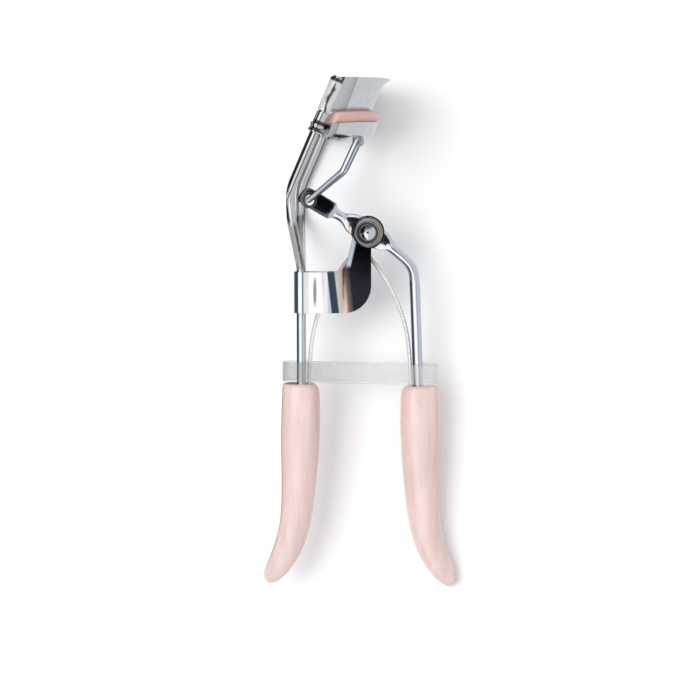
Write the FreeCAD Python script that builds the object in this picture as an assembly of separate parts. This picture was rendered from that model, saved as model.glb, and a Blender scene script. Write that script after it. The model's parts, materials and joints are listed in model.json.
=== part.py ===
import FreeCAD, Part
import math
import os

# Eyelash curler, millimetres.
# It is drawn upright: +X towards the lever side, +Y through its thickness, +Z towards the jaws,
# with the pivot rivet's centre at zero.  At the end it is laid on its side, as it rests on a
# table: its length runs along +Y, and the table is the plane z = 0.

V = FreeCAD.Vector
CLEAR = 0.03                  # fit clearance on a radius

# --- guide wires: two equal steel wires, one behind the other in the arm ---
WIRE_R = 0.9
RAIL_Y = 16.5                 # half the distance between the two rails
RAIL_TILT = 23.2              # rail's lean from the arm's direction, degrees
ARM_X = -13.35                # the arm's line
PAIR_Y = 0.95                 # half the distance between the two wires in the arm
BEND_X = -14.4                # elbow below the jaws
BEND_Z = 8.7
RAIL_TOP_Z = 29.85
ARM_END_Z = -37.0

# --- jaws ---
JAW_SLOPE = 4.5               # rise of the closing plane towards the front, degrees
JAW_Z = 23.2                  # closing plane's height at the rails
PLATE_RADIUS = 19.75          # outer radius of the upper jaw's plate
PLATE_T = 0.5
PLATE_H = 4.4                 # straight part of the plate, below its flared lip
SLEEVE_R = 1.22
SLEEVE_TOP_Z = 29.5
PAD_GAP = 0.08                # between pad and plate, jaws closed
PAD_SHOW = 2.2                # pad's height above its channel
CHANNEL_FRONT = 2.75          # channel's outer wall, in front of the plate's middle
CHANNEL_BACK = 1.75           # and its inner wall, behind it
CHANNEL_T = 0.45
CHANNEL_DEPTH = 1.75          # at the ends; the floor falls towards the front
CHANNEL_FALL = 6.0            # degrees
END_ANGLE = 52.0              # channel and pad end here, degrees from the front

# --- lever ---
LEVER_R = 1.05
LEVER_ANGLE = 149.5           # direction of the lever's short arm
SHORT_ARM = 15.6              # pivot to the crosshead's tip
CROSSHEAD_L = 7.7
CROSSHEAD_W = 3.6
CROSSHEAD_T = 2.4
HOLE_R = 1.05
BUSH_T = 0.25
BOSS_T = 1.6
BOSS_HALF = 5.3                # flattened round the rivet, half its length
LONG_ARM_ROOT = V(3.83, 0, -2.37)
LEVER_BEND = V(9.3, 0, -6.95)
LEVER_END = V(10.45, 0, -37.5)

# --- stirrup between the crosshead and the lower jaw ---
STIRRUP_R = 0.525
HOOK = V(-2.0, 0, 18.1)       # its pin in the lower jaw's lugs
PIN = V(-11.75, 0, 6.4)       # its pin in the crosshead's hole
LUG_Y = 8.5

# --- bracket and rivet ---
SHEET_T = 0.45
EAR_Y = 1.15                  # inner face of an ear
EAR_R = 3.3
BRACKET_TOP = -7.9
BRACKET_FOOT = -16.1
RIVET_R = 0.95
CRIMP_X = -10.55              # shallow long dents that grip the wires
CRIMP_DEPTH = 0.15
CRIMP_R = 0.3                 # the dent's own radius, and its radius along the arm
CRIMP_RING = 26.0

# --- return spring, handles, strap ---
SPRING_R = 0.4
SPRING_X = -1.58              # the arch's centre line
HANDLE_AXIS_X = -1.5          # the handles mirror each other about this line
HANDLE_HALF_T = 3.5
HANDLE_TOP = -30.4
STRAP_W = 4.2
STRAP_T = 0.25
STRAP_SKEW = 1.0


def unit(v):
    return V(v).normalize()


def turned(angle, length):
    """A vector in the side plane, at an angle from +X towards +Z."""
    a = math.radians(angle)
    return V(length * math.cos(a), 0, length * math.sin(a))


def bent_wire_path(points, radii):
    """Straight runs through the points, joined by tangent arcs of the given radii."""
    edges = []
    start = points[0]
    for before, corner, after, radius in zip(points, points[1:], points[2:], radii):
        to_before = unit(before - corner)
        to_after = unit(after - corner)
        half = to_before.getAngle(to_after) / 2
        reach = radius / math.tan(half)
        first = corner + to_before * reach
        last = corner + to_after * reach
        inward = unit(to_before + to_after)
        middle = corner + inward * (radius / math.sin(half) - radius)
        edges.append(Part.LineSegment(start, first).toShape())
        edges.append(Part.Arc(first, middle, last).toShape())
        start = last
    edges.append(Part.LineSegment(start, points[-1]).toShape())
    return Part.Wire(edges)


def rod(points, radii, radius):
    """A round wire along a bent path."""
    path = bent_wire_path(points, radii)
    section = Part.Wire(Part.makeCircle(radius, points[0], points[1] - points[0]))
    return path.makePipeShell([section], True, True)


def side_outline(corners):
    """A face in the side plane from (x, z, corner radius) triples."""
    edges = []
    count = len(corners)
    arcs = []
    for i in range(count):
        corner = V(corners[i][0], 0, corners[i][1])
        before = corners[i - 1]
        after = corners[(i + 1) % count]
        to_before = unit(V(before[0], 0, before[1]) - corner)
        to_after = unit(V(after[0], 0, after[1]) - corner)
        radius = corners[i][2]
        half = to_before.getAngle(to_after) / 2
        reach = radius / math.tan(half)
        inward = unit(to_before + to_after)
        middle = corner + inward * (radius / math.sin(half) - radius)
        arcs.append((corner + to_before * reach, middle, corner + to_after * reach, radius))
    for i in range(count):
        first, middle, last, radius = arcs[i]
        if radius > 0:
            edges.append(Part.Arc(first, middle, last).toShape())
        following = arcs[(i + 1) % count][0]
        if last.distanceToPoint(following) > 1e-6:
            edges.append(Part.LineSegment(last, following).toShape())
    return Part.Face(Part.Wire(edges))


def slab(face, low_y, high_y):
    """A side outline given thickness from low_y to high_y."""
    solid = face.extrude(V(0, high_y - low_y, 0))
    solid.translate(V(0, low_y, 0))
    return solid


def disc(centre, radius, low_y, high_y):
    """A cylinder along Y."""
    return Part.makeCylinder(radius, high_y - low_y, V(centre.x, low_y, centre.z), V(0, 1, 0))


def fused(shapes):
    return shapes[0].multiFuse(shapes[1:]).Solids[0]


RAIL_DIR = turned(90 - RAIL_TILT, 1)
JAW_X = BEND_X + math.tan(math.radians(RAIL_TILT)) * (JAW_Z - BEND_Z)
JAW_CENTRE = V(JAW_X, 0, JAW_Z)
SHEAR = math.tan(math.radians(RAIL_TILT + JAW_SLOPE))   # plate's lean from the jaw plane's normal
ARC_CENTRE_U = (PLATE_RADIUS**2 - RAIL_Y**2) ** 0.5      # arc's centre behind the rails


def rail_point(distance, y):
    """A point on a rail, measured up it from the closing plane."""
    return JAW_CENTRE + RAIL_DIR * distance + V(0, y, 0)


def on_jaw_plane(shape):
    """Takes a shape from the jaws' own axes (u, y, w) to the curler's."""
    shape.rotate(V(0, 0, 0), V(0, 1, 0), -JAW_SLOPE)
    shape.translate(JAW_CENTRE)
    return shape


def arc_band(outer, inner, half_angle, w):
    """A crescent face in the jaws' axes, at height w, between two radii."""
    shift = SHEAR * w - ARC_CENTRE_U
    end = math.radians(half_angle)

    def at(radius, angle):
        return V(shift + radius * math.cos(angle), radius * math.sin(angle), w)

    return Part.Face(Part.Wire([
        Part.Arc(at(outer, -end), at(outer, 0), at(outer, end)).toShape(),
        Part.LineSegment(at(outer, end), at(inner, end)).toShape(),
        Part.Arc(at(inner, end), at(inner, 0), at(inner, -end)).toShape(),
        Part.LineSegment(at(inner, -end), at(outer, -end)).toShape(),
    ]))


def leaning_band(outer, inner, half_angle, low, high):
    """A crescent wall between two heights, leaning as the rails do."""
    height = high - low
    return arc_band(outer, inner, half_angle, low).extrude(V(SHEAR * height, 0, height))


def guide_wire(side):
    """side is -1 for the near wire and +1 for the far one."""
    points = [
        V(BEND_X + math.tan(math.radians(RAIL_TILT)) * (RAIL_TOP_Z - BEND_Z), side * RAIL_Y, RAIL_TOP_Z),
        V(BEND_X, side * RAIL_Y, BEND_Z),
        V(BEND_X, side * RAIL_Y, 3.6),
        V(ARM_X, side * PAIR_Y, -6.9),
        V(ARM_X, side * PAIR_Y, ARM_END_Z),
    ]
    return rod(points, [8.0, 5.0, 1.7], WIRE_R)


def upper_jaw():
    """Curved plate with a flared lip, rolled round a rail at each end."""
    end_angle = math.degrees(math.asin(RAIL_Y / PLATE_RADIUS))

    # heights at the rails and at the front, and how far the lip stands out at the front
    lip = [(PLATE_H, PLATE_H, 0.0), (5.3, 5.1, 0.28), (5.9, 5.6, 0.68), (6.35, 5.95, 1.2)]
    sections = []
    for side_w, front_w, flare in lip:
        side_u = SHEAR * side_w
        front_u = SHEAR * front_w + PLATE_RADIUS - ARC_CENTRE_U + flare
        fall = (front_w - side_w) / (front_u - side_u)

        def at(u, y):
            return V(u, y, side_w + fall * (u - side_u))

        back_u = side_u - PLATE_T * 0.55
        back_y = RAIL_Y - PLATE_T * 0.83
        sections.append(Part.Wire([
            Part.Arc(at(side_u, -RAIL_Y), at(front_u, 0), at(side_u, RAIL_Y)).toShape(),
            Part.LineSegment(at(side_u, RAIL_Y), at(back_u, back_y)).toShape(),
            Part.Arc(at(back_u, back_y), at(front_u - PLATE_T, 0), at(back_u, -back_y)).toShape(),
            Part.LineSegment(at(back_u, -back_y), at(side_u, -RAIL_Y)).toShape(),
        ]))
    flared = Part.makeLoft(sections, True, True)
    plate = leaning_band(PLATE_RADIUS, PLATE_RADIUS - PLATE_T, end_angle, 0, PLATE_H + 0.01)
    jaw = on_jaw_plane(fused([plate, flared]))
    top = (SLEEVE_TOP_Z - JAW_Z) / RAIL_DIR.z
    for side in (-1, 1):
        foot = rail_point(0.15, side * RAIL_Y)
        jaw = jaw.fuse(Part.makeCylinder(SLEEVE_R, top - 0.15, foot, RAIL_DIR))
    for side in (-1, 1):
        foot = rail_point(-1, side * RAIL_Y)
        jaw = jaw.cut(Part.makeCylinder(WIRE_R + CLEAR, top + 3, foot, RAIL_DIR))
    return jaw


def below_plane(drop):
    """Everything under the channel's sloping underside, moved up by drop."""
    block = Part.makeBox(60, 60, 20, V(-30, -30, -20))
    block.rotate(V(0, 0, 0), V(0, 1, 0), CHANNEL_FALL)
    block.translate(V(0, 0, -PAD_SHOW - PAD_GAP - CHANNEL_DEPTH + drop))
    return block


CHANNEL_TOP = -PAD_GAP - PAD_SHOW
PAD_RADIUS = PLATE_RADIUS - PLATE_T / 2          # the plate's edge presses the pad's middle


def lower_jaw():
    """Curved channel for the pad, with an end tab on each slide collar and two lugs below."""
    outer = PAD_RADIUS + CHANNEL_FRONT
    inner = PAD_RADIUS - CHANNEL_BACK
    shell = leaning_band(outer, inner, END_ANGLE, -7, CHANNEL_TOP).cut(below_plane(0))
    pocket = leaning_band(outer - CHANNEL_T, inner + CHANNEL_T, END_ANGLE - 1.3, -7, CHANNEL_TOP + 1)
    pocket = pocket.cut(below_plane(CHANNEL_T))
    channel = on_jaw_plane(shell.cut(pocket))

    for side in (-1, 1):
        lug = slab(side_outline([
            (HOOK.x - 0.9, HOOK.z + 1.5, 0),
            (HOOK.x + 1.05, HOOK.z + 1.5, 0),
            (HOOK.x + 1.0, HOOK.z - 0.85, 0.88),
            (HOOK.x - 0.9, HOOK.z - 0.85, 0.88),
        ]), side * LUG_Y - 0.4, side * LUG_Y + 0.4)
        channel = channel.fuse(lug.cut(on_jaw_plane(pocket.copy())))
        channel = channel.cut(disc(HOOK, STIRRUP_R + 0.06, side * LUG_Y - 2, side * LUG_Y + 2))

    low = rail_point(COLLAR_MIDDLE - TAB_T / 2, 0)
    for side in (-1, 1):
        tab = Part.makeBox(4.6, 2.6, TAB_T, V(0, 0, 0))
        tab.translate(V(-1.3, side * (RAIL_Y - 0.4) - 1.3, 0))
        tab = tab.makeFillet(0.8, [e for e in tab.Edges if abs(e.tangentAt(0).z) > 0.9])
        tab.rotate(V(0, 0, 0), V(0, 1, 0), RAIL_TILT)
        tab.translate(low)
        channel = channel.fuse(tab.cut(on_jaw_plane(pocket.copy())))
        foot = rail_point(-8, side * RAIL_Y)
        channel = channel.cut(Part.makeCylinder(COLLAR_NECK_R + CLEAR, 12, foot, RAIL_DIR))
    return channel


COLLAR_NECK_R = 1.2
COLLAR_FLANGE_R = 1.4
COLLAR_MIDDLE = -3.3          # middle of the groove that holds the tab, along the rail
TAB_T = 0.6


def slide_collar(side):
    """Flanged bush that runs on a rail; the lower jaw's tab sits in its groove."""
    bore = WIRE_R + 0.05
    flange = 0.5
    foot = COLLAR_MIDDLE - TAB_T / 2 - CLEAR - flange
    head = COLLAR_MIDDLE + TAB_T / 2 + CLEAR
    profile = [
        (bore, foot), (COLLAR_FLANGE_R, foot), (COLLAR_FLANGE_R, foot + flange),
        (COLLAR_NECK_R, foot + flange), (COLLAR_NECK_R, head), (COLLAR_FLANGE_R, head),
        (COLLAR_FLANGE_R, head + flange), (COLLAR_NECK_R - 0.05, head + flange),
        (COLLAR_NECK_R - 0.05, -0.15), (bore, -0.15),
    ]
    wire = Part.makePolygon([V(r, 0, s) for r, s in profile + profile[:1]])
    bush = Part.Face(wire).revolve(V(0, 0, 0), V(0, 0, 1), 360)
    bush.rotate(V(0, 0, 0), V(0, 1, 0), RAIL_TILT)
    bush.translate(rail_point(0, side * RAIL_Y))
    return bush


def lash_pad():
    """Soft strip with a crowned top, seated in the lower jaw's channel."""
    outer = PAD_RADIUS + CHANNEL_FRONT - CHANNEL_T - 0.02
    inner = PAD_RADIUS - CHANNEL_BACK + CHANNEL_T + 0.02
    pad = leaning_band(outer, inner, END_ANGLE - 1.5, -7, -PAD_GAP)
    pad = pad.cut(below_plane(CHANNEL_T + 0.02))
    crown = [e for e in pad.Edges if e.BoundBox.ZMin > -PAD_GAP - 0.01 and e.Length > 8]
    return on_jaw_plane(pad.makeFillet(1.0, crown))


def stirrup():
    """One wire: through the crosshead, up both sides, hooked into the lower jaw's lugs."""
    near = [
        V(HOOK.x, -LUG_Y + 0.6, HOOK.z),
        V(HOOK.x, -LUG_Y - 1.35, HOOK.z),
        V(-4.85, -LUG_Y + 0.4, 12.1),
        V(PIN.x, -2.0, PIN.z),
    ]
    far = [V(p.x, -p.y, p.z) for p in reversed(near)]
    return rod(near + far, [0.75, 3.0, 0.9, 0.9, 3.0, 0.75], STIRRUP_R)


def lever_arm():
    """Round rod with a flattened boss at the rivet and a flat, drilled crosshead."""
    along = turned(LEVER_ANGLE, 1)
    root = SHORT_ARM - CROSSHEAD_L
    neck = Part.makeCylinder(LEVER_R, root - BOSS_HALF + 1.2, along * (BOSS_HALF - 0.2), along)
    arm = rod([LONG_ARM_ROOT, LEVER_BEND, LEVER_END], [4.5], LEVER_R)
    boss = slab(side_outline([
        (BOSS_HALF, -1.05, 0.5), (2.4, -2.3, 2.4), (-1.5, -2.3, 2.4), (-BOSS_HALF, -0.6, 0.5),
        (-BOSS_HALF, 1.45, 0.5), (-2.8, 2.4, 2.4), (2.4, 2.4, 2.4), (BOSS_HALF, 1.05, 0.5),
    ]), -BOSS_T / 2, BOSS_T / 2)
    half = CROSSHEAD_W / 2
    head = slab(side_outline([
        (root, -half, 0.5), (SHORT_ARM - 0.3, -half, 0.5), (SHORT_ARM, 0.35, 0.8),
        (SHORT_ARM - 1.1, half, 0.8), (root, half, 0.5),
    ]), -CROSSHEAD_T / 2, CROSSHEAD_T / 2)
    for piece in (boss, head):
        piece.rotate(V(0, 0, 0), V(0, 1, 0), -LEVER_ANGLE)
    lever = fused([neck, arm, boss, head])
    lever = lever.cut(disc(PIN, HOLE_R + BUSH_T, -3, 3))
    return lever.cut(disc(V(0, 0, 0), RIVET_R + 0.05, -3, 3))


def crosshead_bush():
    """Eyelet that lines the crosshead's hole."""
    half = CROSSHEAD_T / 2
    flange = 0.2
    bush = disc(PIN, HOLE_R + BUSH_T, -half, half)
    for low in (-half - flange, half):
        bush = bush.fuse(disc(PIN, HOLE_R + BUSH_T + 0.3, low, low + flange))
    return bush.cut(disc(PIN, HOLE_R, -3, 3))


def bracket_section(grow):
    """The bracket's plan: wide round the wires, narrower at the ears, open at the front."""
    wide = PAIR_Y + WIRE_R + CLEAR + grow
    narrow = EAR_Y + grow
    back = ARM_X - WIRE_R - CLEAR - grow
    rows = [(back, -wide, 0.9 + grow), (-8.6, -wide - 0.2, 5), (-5.2, -narrow, 5), (6, -narrow, 0)]
    plan = rows + [(x, -y, r) for x, y, r in reversed(rows)]
    face = side_outline(plan)
    face.rotate(V(0, 0, 0), V(1, 0, 0), -90)
    return face


def pivot_bracket():
    """Folded sheet: clasps the wire pair and carries the rivet between two ears."""
    outer = bracket_section(SHEET_T)
    inner = bracket_section(0)
    walls = []
    for face in (outer, inner):
        block = face.extrude(V(0, 0, 24))
        block.translate(V(0, 0, -18 - face.BoundBox.ZMin))
        walls.append(block)
    inner_block = walls[1]
    sheet = walls[0].cut(inner_block)
    body = side_outline([
        (-20, BRACKET_TOP, 0), (-4.65, BRACKET_TOP, 2.4), (-2.35, 2.0, 0), (0, 2.0, 0),
        (0.66, -2.0, 0), (0.66, BRACKET_FOOT, 5.4), (-20, BRACKET_FOOT, 0),
    ])
    cut_shape = slab(body, -5, 5).fuse(disc(V(0, 0, 0), EAR_R, -5, 5))
    bracket = sheet.common(cut_shape)
    face_y = PAIR_Y + WIRE_R + CLEAR + SHEET_T + 0.1
    ring_y = face_y - CRIMP_DEPTH + CRIMP_R + CRIMP_RING
    for side in (-1, 1):
        centre = V(CRIMP_X, side * ring_y, (BRACKET_TOP + BRACKET_FOOT) / 2)
        bracket = bracket.cut(Part.makeTorus(CRIMP_RING, CRIMP_R, centre, V(1, 0, 0)))
    return bracket.cut(disc(V(0, 0, 0), RIVET_R + CLEAR, -5, 5))


WASHER_T = 0.45
WASHER_R = 3.05
WASHER_TOP_R = 1.95
EAR_OUTER_Y = EAR_Y + SHEET_T


def pivot_rivet():
    """Shank through ears and lever, with a domed head on each side."""
    reach = EAR_OUTER_Y + WASHER_T
    head_r = 1.6
    head_h = 0.8
    shank = disc(V(0, 0, 0), RIVET_R, -reach - 0.1, reach + 0.1)
    ball_r = (head_r**2 + head_h**2) / (2 * head_h)
    heads = []
    for side in (-1, 1):
        ball = Part.makeSphere(ball_r, V(0, side * (reach + head_h - ball_r), 0))
        low = min(side * reach, side * (reach + 2))
        heads.append(ball.common(disc(V(0, 0, 0), head_r, low, low + 2)))
    return fused([shank] + heads)


def domed_washer(side):
    """Its face rises in an arc from the rim to a flat seat for the rivet's head."""
    bore = RIVET_R + CLEAR
    foot = V(WASHER_R, 0, 0)
    rim = V(WASHER_R, 0.1, 0)
    crest = V(WASHER_TOP_R, WASHER_T, 0)
    middle = (rim + crest) * 0.5 + V(0.06, 0.17, 0)
    profile = Part.Face(Part.Wire([
        Part.LineSegment(V(bore, 0, 0), foot).toShape(),
        Part.LineSegment(foot, rim).toShape(),
        Part.Arc(rim, middle, crest).toShape(),
        Part.LineSegment(crest, V(bore, WASHER_T, 0)).toShape(),
        Part.LineSegment(V(bore, WASHER_T, 0), V(bore, 0, 0)).toShape(),
    ]))
    washer = profile.revolve(V(0, 0, 0), V(0, 1, 0), 360)
    washer.translate(V(0, EAR_OUTER_Y, 0))
    return washer if side > 0 else washer.mirror(V(0, 0, 0), V(0, 1, 0))


def ring(outer_r, low_y, high_y):
    """A spacer on the rivet."""
    return disc(V(0, 0, 0), outer_r, low_y, high_y).cut(disc(V(0, 0, 0), RIVET_R + CLEAR, -5, 5))


def return_spring():
    """Arched wire whose feet stand in the two handles."""
    right = [(10.3, -34.5), (10.1, -26.5), (9.1, -18.0), (6.0, -10.8)]
    points = [V(SPRING_X - d, 0, z) for d, z in right]
    points.append(V(SPRING_X, 0, -3.2))
    points += [V(SPRING_X + d, 0, z) for d, z in reversed(right)]
    bends = [40.0, 22.0, 18.0]
    return rod(points, bends + [2.6] + bends[::-1], SPRING_R)


def oval(centre, lean, half_w, half_t):
    """A closed smooth section across the handle, leaning outwards by an angle."""
    across = turned(-lean, 1)
    points = []
    count = 12
    for i in range(count):
        a = 2 * math.pi * i / count
        c = math.cos(a)
        s = math.sin(a)
        points.append(centre + across * (half_w * c) + V(0, half_t * s, 0))
    curve = Part.BSplineCurve()
    curve.interpolate(Points=points, PeriodicFlag=True)
    return Part.Wire(curve.toShape())


def handle():
    """The left handle, before its bores: straight grip with an outward-curved tip."""
    t = HANDLE_HALF_T
    sections = [
        (-14.0, HANDLE_TOP, 0, 3.0, t - 0.8),
        (-13.55, HANDLE_TOP - 0.9, 0, 3.75, t - 0.15),
        (-13.45, HANDLE_TOP - 2.2, 0, 3.9, t),
        (-13.6, -41.0, 0, 4.08, t),
        (-13.8, -48.0, 1, 3.72, t),
        (-14.1, -54.5, 5, 3.36, t - 0.1),
        (-14.8, -60.0, 14, 3.14, t - 0.3),
        (-16.1, -64.0, 26, 2.9, t - 0.6),
        (-17.9, -67.4, 38, 2.56, t - 1.0),
        (-19.5, -69.6, 46, 1.98, t - 1.7),
        (-20.6, -70.8, 48, 1.1, t - 2.6),
        (-20.95, -71.15, 48, 0.4, 0.35),
    ]
    wires = [oval(V(x, 0, z), lean, half_w, half_t) for x, z, lean, half_w, half_t in sections]
    return Part.makeLoft(wires, True, True)


def left_handle():
    solid = handle()
    for side in (-1, 1):
        solid = solid.cut(Part.makeCylinder(
            WIRE_R + CLEAR, 20, V(ARM_X, side * PAIR_Y, ARM_END_Z - 0.1), V(0, 0, 1)))
    return solid.cut(spring_bore(SPRING_X - 10.28))


def right_handle():
    solid = handle().mirror(V(HANDLE_AXIS_X, 0, 0), V(1, 0, 0))
    solid.translate(V(0, 0, -0.4))
    run = LEVER_END - LEVER_BEND
    bore = Part.makeCylinder(LEVER_R + CLEAR, run.Length + 0.1, LEVER_BEND, run)
    return solid.cut(bore).cut(spring_bore(SPRING_X + 10.28))


def spring_bore(x):
    """Room for a foot of the spring."""
    return Part.makeCylinder(SPRING_R + 0.12, 8, V(x, 0, -35), V(0, 0, 1))


def retaining_strap():
    """Loose band round both arms that keeps the jaws closed."""
    left = -17.3
    right = 14.2
    half = 2.25
    low = -30.1
    outer = racetrack(left, right, half)
    inner = racetrack(left + STRAP_T, right - STRAP_T, half - STRAP_T)
    band = outer.cut(inner)
    band.translate(V(0, 0, low))
    band.rotate(V(left, 0, low), V(0, 1, 0), STRAP_SKEW)
    return band


def racetrack(left, right, half):
    """A flat loop's filled plan, STRAP_W high."""
    a = V(left + half, -half, 0)
    b = V(right - half, -half, 0)
    c = V(right - half, half, 0)
    d = V(left + half, half, 0)
    edges = [
        Part.LineSegment(a, b).toShape(),
        Part.Arc(b, V(right, 0, 0), c).toShape(),
        Part.LineSegment(c, d).toShape(),
        Part.Arc(d, V(left, 0, 0), a).toShape(),
    ]
    return Part.Face(Part.Wire(edges)).extrude(V(0, 0, STRAP_W))


parts = {
    "near_guide_wire": guide_wire(-1),
    "far_guide_wire": guide_wire(1),
    "upper_jaw": upper_jaw(),
    "lower_jaw": lower_jaw(),
    "near_slide_collar": slide_collar(-1),
    "far_slide_collar": slide_collar(1),
    "lash_pad": lash_pad(),
    "stirrup": stirrup(),
    "lever_arm": lever_arm(),
    "crosshead_bush": crosshead_bush(),
    "pivot_bracket": pivot_bracket(),
    "pivot_rivet": pivot_rivet(),
    "near_rivet_washer": domed_washer(-1),
    "far_rivet_washer": domed_washer(1),
    "near_spacer": ring(2.4, -EAR_Y, -BOSS_T / 2 - 0.03),
    "far_spacer": ring(2.4, BOSS_T / 2 + 0.03, EAR_Y),
    "return_spring": return_spring(),
    "left_handle": left_handle(),
    "right_handle": right_handle(),
    "retaining_strap": retaining_strap(),
}

# Laid on its side: it rests on the far wire's elbow, the lower jaw's far end and a handle tip.
REST_TILT = 6.88
REST_ROLL = 11.52
upended = FreeCAD.Rotation(V(1, 0, 0), REST_TILT - 90)
rolled = FreeCAD.Rotation(V(0, 1, 0), REST_ROLL)
laid = FreeCAD.Placement(V(0, 0, 0), rolled.multiply(upended))


def true_box(shape):
    box = FreeCAD.BoundBox()
    for point in shape.tessellate(0.02)[0]:
        box.add(point)
    return box


whole = FreeCAD.BoundBox()
for name, shape in parts.items():
    shape.Placement = laid.multiply(shape.Placement)
    whole.add(true_box(shape))
to_origin = V(-whole.Center.x, -whole.Center.y, -whole.ZMin)

os.makedirs("parts", exist_ok=True)
for name, shape in parts.items():
    shape.translate(to_origin)
    box = true_box(shape)
    print("%-18s valid %s, solids %d, volume %8.2f, z from %.3f" % (
        name, shape.isValid(), len(shape.Solids), shape.Volume, box.ZMin))
    shape.exportStep("parts/%s.step" % name)


def laid_point(point):
    return laid.multVec(point) + to_origin


places = {
    "pivot": laid_point(V(0, 0, 0)),
    "hook": laid_point(HOOK),
    "pin": laid_point(PIN),
    "hinge_axis": laid.multVec(V(0, -1, 0)),
    "opening_slide": laid.multVec(RAIL_DIR * -1),
}
for name, place in places.items():
    print("%-14s %.5f %.5f %.5f" % (name, place.x, place.y, place.z))
print("overall", round(whole.XLength, 3), round(whole.YLength, 3), round(whole.ZLength, 3))
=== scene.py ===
import json
import math

import bpy
import bmesh
from mathutils import Matrix, Vector


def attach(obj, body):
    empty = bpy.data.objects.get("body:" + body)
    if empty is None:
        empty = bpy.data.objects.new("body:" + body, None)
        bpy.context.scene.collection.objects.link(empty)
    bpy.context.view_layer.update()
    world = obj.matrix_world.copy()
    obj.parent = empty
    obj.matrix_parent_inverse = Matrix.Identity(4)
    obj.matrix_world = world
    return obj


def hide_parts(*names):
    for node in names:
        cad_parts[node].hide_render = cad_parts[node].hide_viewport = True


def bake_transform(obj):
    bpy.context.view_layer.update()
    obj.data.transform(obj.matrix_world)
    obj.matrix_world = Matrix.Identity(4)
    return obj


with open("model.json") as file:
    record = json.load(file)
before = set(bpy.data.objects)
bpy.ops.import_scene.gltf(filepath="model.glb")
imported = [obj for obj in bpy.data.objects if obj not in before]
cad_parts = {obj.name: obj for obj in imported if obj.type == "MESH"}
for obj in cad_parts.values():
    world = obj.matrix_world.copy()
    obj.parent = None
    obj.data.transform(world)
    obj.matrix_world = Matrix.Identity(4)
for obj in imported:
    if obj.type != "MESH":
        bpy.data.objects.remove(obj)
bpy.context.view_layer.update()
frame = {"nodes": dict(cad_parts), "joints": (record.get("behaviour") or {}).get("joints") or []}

nodes = frame["nodes"]
MM = 0.001

# The curler's own axes: +X to the lever side, +Y through its thickness (away from the viewer),
# +Z towards the jaws, zero at the pivot rivet.  It lies tilted and rolled on the table.
REST_TILT = math.radians(6.88)
REST_ROLL = math.radians(11.52)
lever_hinge = next(j for j in frame["joints"] if j["name"] == "lever_hinge")
PIVOT = Vector(lever_hinge["pos_m"])
LAID = Matrix.Rotation(REST_ROLL, 3, "Y") @ Matrix.Rotation(REST_TILT - math.pi / 2, 3, "X")


# Dimensions that shapes and surfaces share, in millimetres on those axes.
WIRE_R = 0.9
LEAN = math.radians(23.2)                       # the rails' lean towards the lever
BEND_X, BEND_Z, LEG_TOP = -14.4, 8.7, 3.6       # elbow below the jaws
RAIL_TOP = 29.85
ARM_X, ARM_TOP, ARM_END = -13.35, -6.9, -37.0   # where the two wires run side by side
RAIL_Y, PAIR_Y = 16.5, 0.95
LEVER_ROD_R = 1.05
SHORT = math.radians(149.5)                     # direction of the lever's short arm
JAW_Z = 23.2                                    # closing plane's height at the rails
STIRRUP_R = 0.525
STIRRUP_ELBOW = (-4.85, 0, 12.1)


def at(x, y, z):
    """A place on the curler, given in millimetres in its own axes."""
    return PIVOT + LAID @ (Vector((x, y, z)) * MM)


# ------------------------------------------------------------------ material helpers

FULL = (1, 1, 1, 1)           # multiplied in, it leaves a colour as it is


def new_material(name):
    mat = bpy.data.materials.new(name)
    mat.use_nodes = True
    tree = mat.node_tree
    return mat, tree, tree.nodes["Principled BSDF"]


def add(tree, kind, **values):
    node = tree.nodes.new(kind)
    for key, value in values.items():
        if key.startswith("in_"):
            node.inputs[key[3:].replace("_", " ")].default_value = value
        else:
            setattr(node, key, value)
    return node


def noise(tree, scale_mm, detail=3.0, stretch=(1, 1, 1), turn=(0, 0, 0)):
    """Noise whose features are scale_mm across, on the object's own coordinates."""
    place = add(tree, "ShaderNodeTexCoord")
    mapping = add(tree, "ShaderNodeMapping")
    mapping.inputs["Scale"].default_value = stretch
    mapping.inputs["Rotation"].default_value = turn
    tex = add(tree, "ShaderNodeTexNoise", in_Scale=1.0 / (scale_mm * MM), in_Detail=detail)
    tree.links.new(place.outputs["Object"], mapping.inputs["Vector"])
    tree.links.new(mapping.outputs["Vector"], tex.inputs["Vector"])
    return tex.outputs["Fac"]


def ramp(tree, fac, stops):
    node = add(tree, "ShaderNodeValToRGB")
    band = node.color_ramp
    band.elements[0].position, band.elements[0].color = stops[0]
    band.elements[1].position, band.elements[1].color = stops[-1]
    for position, colour in stops[1:-1]:
        band.elements.new(position).color = colour
    tree.links.new(fac, node.inputs["Fac"])
    return node.outputs["Color"]


def spread(tree, fac, low, high):
    node = add(tree, "ShaderNodeMapRange")
    node.inputs["To Min"].default_value = low
    node.inputs["To Max"].default_value = high
    tree.links.new(fac, node.inputs["Value"])
    return node.outputs["Result"]


def grey(value, tint=(1, 1, 1)):
    return (value * tint[0], value * tint[1], value * tint[2], 1)


def bumps(tree, shader, layers, edge=0.0):
    """Stacks bump layers (height socket, strength, depth in mm) on a softly rounded edge."""
    normal = None
    if edge:
        normal = add(tree, "ShaderNodeBevel", samples=6, in_Radius=edge * MM).outputs["Normal"]
    for height, strength, depth in layers:
        bump = add(tree, "ShaderNodeBump", in_Strength=strength, in_Distance=depth * MM)
        tree.links.new(height, bump.inputs["Height"])
        if normal:
            tree.links.new(normal, bump.inputs["Normal"])
        normal = bump.outputs["Normal"]
    tree.links.new(normal, shader.inputs["Normal"])


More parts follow.
